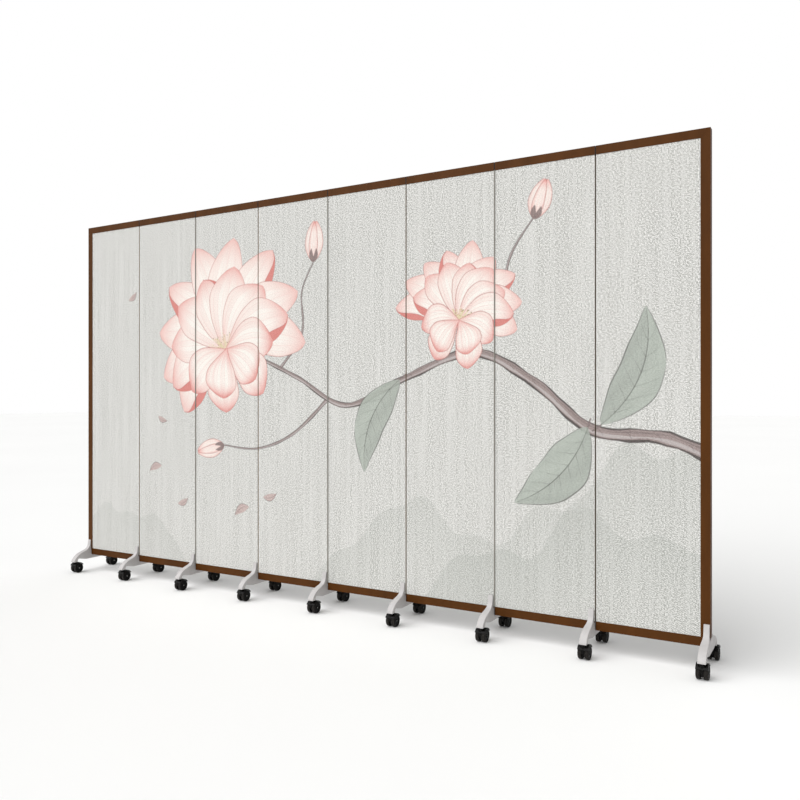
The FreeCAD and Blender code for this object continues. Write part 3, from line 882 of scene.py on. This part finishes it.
def whole_print(design):
    """The whole picture, from the farthest wash to the nearest petal, across the span of all the boards."""
    chance = random.Random(design.seed)
    low, high = CAD_BOX

    def at(u, v):
        """A place in shares of the screen's length and height."""
        return low.x + (high.x - low.x) * u, low.z + (high.z - low.z) * v

    inks = []
    for start, end, foot, height, phase, strength in (
        (0.42, 1.12, -0.08, 0.86, 0.4, 0.24), (0.60, 1.30, -0.08, 1.02, 2.3, 0.28),
        (-0.25, 0.30, -0.06, 0.56, 1.1, 0.22),
    ):
        inks += hills(design, at(start, foot), at(end, foot)[0], height, phase, strength)
    # Twigs and the bough: places along each with its half-width in millimetres
    for places in (
        ((0.72, 0.60, 9), (0.755, 0.70, 7), (0.77, 0.80, 5), (0.80, 0.875, 3)),
        ((0.50, 0.50, 9), (0.44, 0.415, 7), (0.375, 0.375, 5), (0.31, 0.38, 3)),
        ((0.415, 0.573, 7), (0.455, 0.66, 6), (0.455, 0.76, 4), (0.475, 0.83, 3)),
        (
            (1.04, 0.36, 27), (0.955, 0.425, 25), (0.87, 0.44, 22), (0.80, 0.535, 20), (0.72, 0.60, 17),
            (0.62, 0.545, 14), (0.53, 0.485, 12), (0.45, 0.55, 10), (0.38, 0.60, 9), (0.335, 0.61, 8),
        ),
    ):
        inks += branch(design, [(*at(u, v), half * MM) for u, v, half in places], chance)
    for base, tip, half, bow in (
        ((0.865, 0.445), (0.775, 0.285), 92, 0.12), ((0.88, 0.45), (0.93, 0.68), 84, -0.15),
        ((0.615, 0.545), (0.56, 0.33), 78, -0.14),
    ):
        inks += leaf(design, at(*base), at(*tip), half * MM, bow)
    for base, tip, half in (
        ((0.80, 0.87), (0.815, 0.95), 34), ((0.31, 0.38), (0.255, 0.36), 30),
        ((0.475, 0.83), (0.478, 0.93), 34),
    ):
        inks += bud(design, at(*base), at(*tip), half * MM)
    inks += bloom(design, at(0.70, 0.665), 0.30, math.radians(12), chance, openness=0.8)
    inks += bloom(design, at(0.315, 0.62), 0.50, math.radians(-24), chance)
    for u, v, size, degrees in (
        (0.15, 0.30, 95, 20), (0.235, 0.235, 80, 205), (0.33, 0.20, 105, 28), (0.41, 0.265, 85, 195),
        (0.12, 0.80, 75, 215), (0.19, 0.44, 70, 160),
    ):
        inks += drifting_petal(design, at(u, v), size * MM, math.radians(degrees))
    return inks


def inside(outline, xs, zs):
    """Which points of a grid lie inside an outline, from where its edges cross the grid's rows."""
    turns = np.zeros((len(zs), len(xs) + 1), np.int16)
    cell = xs[1] - xs[0]
    for (xa, za), (xb, zb) in zip(outline, outline[1:] + outline[:1]):
        first, last = np.searchsorted(zs, sorted((za, zb)))
        if first == last:
            continue
        rows = np.arange(first, last)
        crossing = xa + (zs[rows] - za) * (xb - xa) / (zb - za)
        columns = np.clip(np.ceil((crossing - xs[0]) / cell), 0, len(xs)).astype(int)
        np.add.at(turns, (rows, columns), 1 if zb > za else -1)
    return np.cumsum(turns[:, :-1], axis=1) != 0


def painted_grid(low, high, cell, inks):
    """The pigment over a rectangle on a grid of this cell: red, green and blue times cover, and cover.

    The shapes are painted at half the cell and then averaged, so that a line thinner than a cell still shows.
    """
    counts = [2 * max(1, round((high[k] - low[k]) / cell)) for k in (0, 1)]
    xs, zs = (np.linspace(low[k], high[k], counts[k] + 1) for k in (0, 1))
    paint = np.zeros((len(zs), len(xs), 4))
    for ink in inks:
        if not ink.meets(low, high):
            continue
        left, right = np.searchsorted(xs, (ink.low[0], ink.high[0]))
        bottom, top = np.searchsorted(zs, (ink.low[1], ink.high[1]))
        left, bottom, right, top = max(0, left - 1), max(0, bottom - 1), right + 1, top + 1
        window = paint[bottom:top, left:right]
        if min(window.shape[:2]) < 2:
            continue
        covered = inside(ink.outline, xs[left:right], zs[bottom:top])
        rows, columns = np.nonzero(covered)
        rgb, alpha = ink.wash(xs[left + columns], zs[bottom + rows])
        alpha = np.broadcast_to(alpha, rows.shape)[:, None]
        over = np.concatenate([np.broadcast_to(rgb, (len(rows), 3)) * alpha, alpha], axis=1)
        window[rows, columns] = over + window[rows, columns] * (1 - alpha)
    for axis in (0, 1):
        padded = np.pad(paint, [(1, 1) if axis == k else (0, 0) for k in range(3)], mode="edge")
        one, two, three = (np.take(padded, range(k, k + paint.shape[axis]), axis) for k in range(3))
        paint = np.take(one * 0.25 + two * 0.5 + three * 0.25, range(0, paint.shape[axis], 2), axis)
    return xs[::2], zs[::2], paint


def kept_points(paint):
    """The grid points that a print needs: all of them along its edges, some in its washes, few elsewhere."""
    least_change, least_cover = 0.035, 0.01
    wash_stride, bare_stride, rim_stride = 5, 16, 8
    keep = np.zeros(paint.shape[:2], bool)
    for axis in (0, 1):
        step = np.abs(np.diff(paint, axis=axis)).max(axis=2) > least_change
        for pair in ((1, 0), (0, 1)):
            keep |= np.pad(step, [pair if axis == k else (0, 0) for k in (0, 1)])
    for stride, needed in ((wash_stride, paint[..., 3] > least_cover), (bare_stride, True)):
        coarse = np.zeros_like(keep)
        coarse[::stride, ::stride] = True
        keep |= coarse & needed
    for side in (keep[0], keep[-1], keep[:, 0], keep[:, -1]):
        side[::rim_stride] = True
        side[-1] = True
    return keep


def cloth_sheet(name, low, high, outward, inks, material, cell):
    """A closed sheet of cloth from one corner to the other, painted on the side that faces outward in Y."""
    near_y, far_y = (low.y, high.y) if outward < 0 else (high.y, low.y)
    xs, zs, paint = painted_grid((low.x, low.z), (high.x, high.z), cell, inks)
    rows, columns = np.nonzero(kept_points(paint))
    flat = [Vector((xs[column], zs[row])) for row, column in zip(rows, columns)]
    places, _, triangles, sources, _, _ = delaunay_2d_cdt(flat, [], [], 0, 1e-7, True)
    shape = bmesh.new()
    layer = shape.verts.layers.float_color.new("pigment")
    for place, source in zip(places, sources):
        *ink, cover = paint[rows[source[0]], columns[source[0]]]
        vertex = shape.verts.new((place.x, near_y, place.y))
        vertex[layer] = (*(part / max(cover, 1e-4) for part in ink), cover)
    shape.verts.ensure_lookup_table()
    for triangle in triangles:
        order = triangle if outward < 0 else triangle[::-1]
        shape.faces.new([shape.verts[index] for index in order])
    rim = [edge for edge in shape.edges if len(edge.link_faces) == 1]
    for made in bmesh.ops.extrude_edge_only(shape, edges=rim)["geom"]:
        if isinstance(made, bmesh.types.BMVert):
            made.co.y = far_y
            made[layer] = (0.0, 0.0, 0.0, 0.0)
    bmesh.ops.contextual_create(shape, geom=[edge for edge in shape.edges if len(edge.link_faces) == 1])
    bmesh.ops.recalc_face_normals(shape, faces=shape.faces[:])
    mesh = bpy.data.meshes.new(name)
    shape.to_mesh(mesh)
    shape.free()
    mesh.materials.append(material)
    return link(name, mesh)


# Operators, one for each group of pieces


class SCREEN_OT_frames(bpy.types.Operator):
    """Dresses the rails, end stiles, plugs, hinges and screws of every panel"""

    bl_idname = "screen.frames"
    bl_label = "Frames and hinges"

    def execute(self, context):
        finish = settings("screen_frame")
        looks = {
            "rails": brown_powder_coat(finish),
            "plugs": moulded_plug(finish),
            "leaves": rolled_steel("rolled_steel_hinge", tuple(finish.hinge), 0.42),
            "pins": rolled_steel("drawn_steel_pin", tuple(finish.hinge), 0.34),
        }
        bevels = {"rails": finish.edge_radius, "plugs": finish.edge_radius / 2}
        tree = screw_tree(rolled_steel("zinc_plated_screw", tuple(finish.screw), 0.3))
        for body in PANELS:
            node = body + "_frame"
            groups = split(node, FRAME_KINDS)
            for kind, material in looks.items():
                if groups[kind]:
                    piece = dressed("%s_%s" % (body, kind), groups[kind], material, bevels.get(kind, 0.0))
                    carried(piece, body, "frame", node)
            for kind in ("hinge_screws", "rail_screws"):
                carried(screws("%s_%s" % (body, kind), groups[kind], tree), body, "frame", node)
        return {"FINISHED"}


class SCREEN_OT_boards(bpy.types.Operator):
    """Dresses the timber, the facings and both cloths of every board, and prints the front cloths"""

    bl_idname = "screen.boards"
    bl_label = "Boards and cloth"

    def execute(self, context):
        finish, cloth, design = (settings(name) for name in ("screen_frame", "screen_cloth", "screen_print"))
        pine, fibre = planed_pine(finish), pressed_fibreboard(finish)
        printed, plain = woven_cloth(cloth, True), woven_cloth(cloth, False)
        inks = whole_print(design)
        for body in PANELS:
            node = body + "_board"
            groups = split(node, BOARD_KINDS)
            carried(dressed(body + "_timber", groups["ladder"], pine, 0.3 * MM), body, "board", node)
            carried(dressed(body + "_facings", groups["facings"], fibre), body, "board", node)
            for rings in groups["cloth"]:
                low, high = extent(rings)
                front = low.y < sum(corner.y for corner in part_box(node)) / 2
                name = body + ("_cloth_front" if front else "_cloth_rear")
                material, motifs = (printed, inks) if front else (plain, [])
                piece = cloth_sheet(name, low, high, -1 if front else 1, motifs, material, design.cell)
                carried(piece, body, "board", node)
        return {"FINISHED"}


class SCREEN_OT_feet(bpy.types.Operator):
    """Dresses the cast feet and their screws"""

    bl_idname = "screen.feet"
    bl_label = "Feet"

    def execute(self, context):
        finish = settings("screen_foot")
        paint = grey_foot_coat(finish)
        tree = screw_tree(rolled_steel("zinc_plated_foot_screw", tuple(settings("screen_frame").screw), 0.3))
        for node in FEET:
            groups = split(node, FOOT_KINDS)
            body = body_of_node(node)
            casting = dressed(node + "_casting", groups["castings"], paint, finish.edge_radius, 1.5 * MM)
            carried(casting, body, "foot", node)
            carried(screws(node + "_screws", groups["screws"], tree), body, "foot", node)
        return {"FINISHED"}


class SCREEN_OT_casters(bpy.types.Operator):
    """Dresses the hoods, stems, wheels and axles of every caster"""

    bl_idname = "screen.casters"
    bl_label = "Casters"

    def execute(self, context):
        finish = settings("screen_caster")
        hood, tyre = glossy_nylon(finish), wheel_nylon(finish)
        steel = rolled_steel("turned_steel", tuple(finish.steel), 0.3)
        # Shares of a wheel's radius: where its face ends, and how wide the change to its tread is
        face, fade = 0.9, 0.08
        for name in CASTERS:
            housing, wheels = name + "_housing", name + "_wheels"
            stem, *moulding = sorted(closed_solids(housing), key=lambda rings: size_of(rings).x)
            axle, *pair = sorted(closed_solids(wheels), key=lambda rings: size_of(rings).z)
            for kind, solids, material, radius, body, slot in (
                ("_stem", [stem], steel, 0.0, housing, "caster_housing"),
                ("_hood", moulding, hood, finish.edge_radius, housing, "caster_housing"),
                ("_axle", [axle], steel, 0.0, wheels, "caster_wheel"),
                ("_wheel_pair", pair, tyre, 0.0, wheels, "caster_wheel"),
            ):
                piece = carried(dressed(name + kind, solids, material, radius, 1.0 * MM), body, slot, body)
            low, high = extent(pair[0])
            middle = (low + high) / 2
            radius = (high.z - low.z) / 2
            tread = piece.data.attributes.new("tread", "FLOAT", "POINT")
            for vertex in piece.data.vertices:
                out = math.hypot(vertex.co.y - middle.y, vertex.co.z - middle.z) / radius
                tread.data[vertex.index].value = min(1.0, max(0.0, (out - face) / fade))
        return {"FINISHED"}


class SCREEN_OT_stage(bpy.types.Operator):
    """Sets the floor, the soft light and the camera"""

    bl_idname = "screen.stage"
    bl_label = "Stage"

    def execute(self, context):
        stage, scene = settings("screen_stage"), context.scene
        material = grained(
            "painted_studio_floor", stage.floor, grain=(3000, 3000, 3000), rough=(0.85, 0.9), depth=0.1,
            dark=0.985, Specular_IOR_Level=0.1,
        )
        reach = 40.0
        corners = [(x * reach, y * reach, 0) for x, y in ((-1, -1), (1, -1), (1, 1), (-1, 1))]
        mesh = bpy.data.meshes.new("floor")
        mesh.from_pydata(corners, [], [(0, 1, 2, 3)])
        mesh.materials.append(material)
        link("floor", mesh)
        world = bpy.data.worlds.new("studio")
        world.use_nodes = True
        scene.world = world
        sky = world.node_tree
        sky.nodes.clear()
        # The soft light falls on the screen, and the camera sees plain white behind it
        soft, seen = (
            add_node(sky, "ShaderNodeBackground", {"Color": (1, 1, 1, 1), "Strength": strength})
            for strength in (stage.ambient, 1.0)
        )
        direct = add_node(sky, "ShaderNodeLightPath", output="Is Camera Ray")
        surface = add_node(sky, "ShaderNodeMixShader", {0: direct, 1: soft, 2: seen})
        add_node(sky, "ShaderNodeOutputWorld", {"Surface": surface}, None)
        for name, way, strength in (
            ("key", (-0.40, -0.58, 0.71), stage.key), ("back", (0.25, 0.85, 0.6), stage.key * 0.22),
        ):
            light = bpy.data.lights.new(name, "SUN")
            light.energy = strength
            light.angle = math.radians(70)
            lamp = link(name, light)
            lamp.location = Vector(way) * 6
            lamp.rotation_euler = Vector(way).to_track_quat("Z", "Y").to_euler()
        camera = bpy.data.cameras.new("camera")
        camera.lens = stage.lens
        camera.sensor_width = 36.0
        camera.shift_y = stage.shift
        camera.clip_start, camera.clip_end = 0.05, 200.0
        eye = link("camera", camera)
        eye.location = stage.eye
        eye.rotation_euler = (math.pi / 2, 0.0, stage.turn)
        scene.camera = eye
        scene.view_settings.view_transform = "Standard"
        return {"FINISHED"}


OPERATORS = (SCREEN_OT_frames, SCREEN_OT_boards, SCREEN_OT_feet, SCREEN_OT_casters, SCREEN_OT_stage)


class SCREEN_PT_pieces(bpy.types.Panel):
    bl_label = "Folding screen"
    bl_idname = "SCREEN_PT_pieces"
    bl_space_type = "VIEW_3D"
    bl_region_type = "UI"
    bl_category = "Screen"

    def draw(self, context):
        for operator in OPERATORS:
            self.layout.operator(operator.bl_idname)


CLASSES = (*GROUPS.values(), *OPERATORS, SCREEN_PT_pieces)


def register():
    for item in CLASSES:
        bpy.utils.register_class(item)
    for name, group in GROUPS.items():
        setattr(bpy.types.Scene, name, PointerProperty(type=group))


def unregister():
    for name in GROUPS:
        delattr(bpy.types.Scene, name)
    for item in reversed(CLASSES):
        bpy.utils.unregister_class(item)


def main():
    register()
    for operator in OPERATORS:
        group, name = operator.bl_idname.split(".")
        getattr(getattr(bpy.ops, group), name)()


if __name__ == "__main__":
    main()
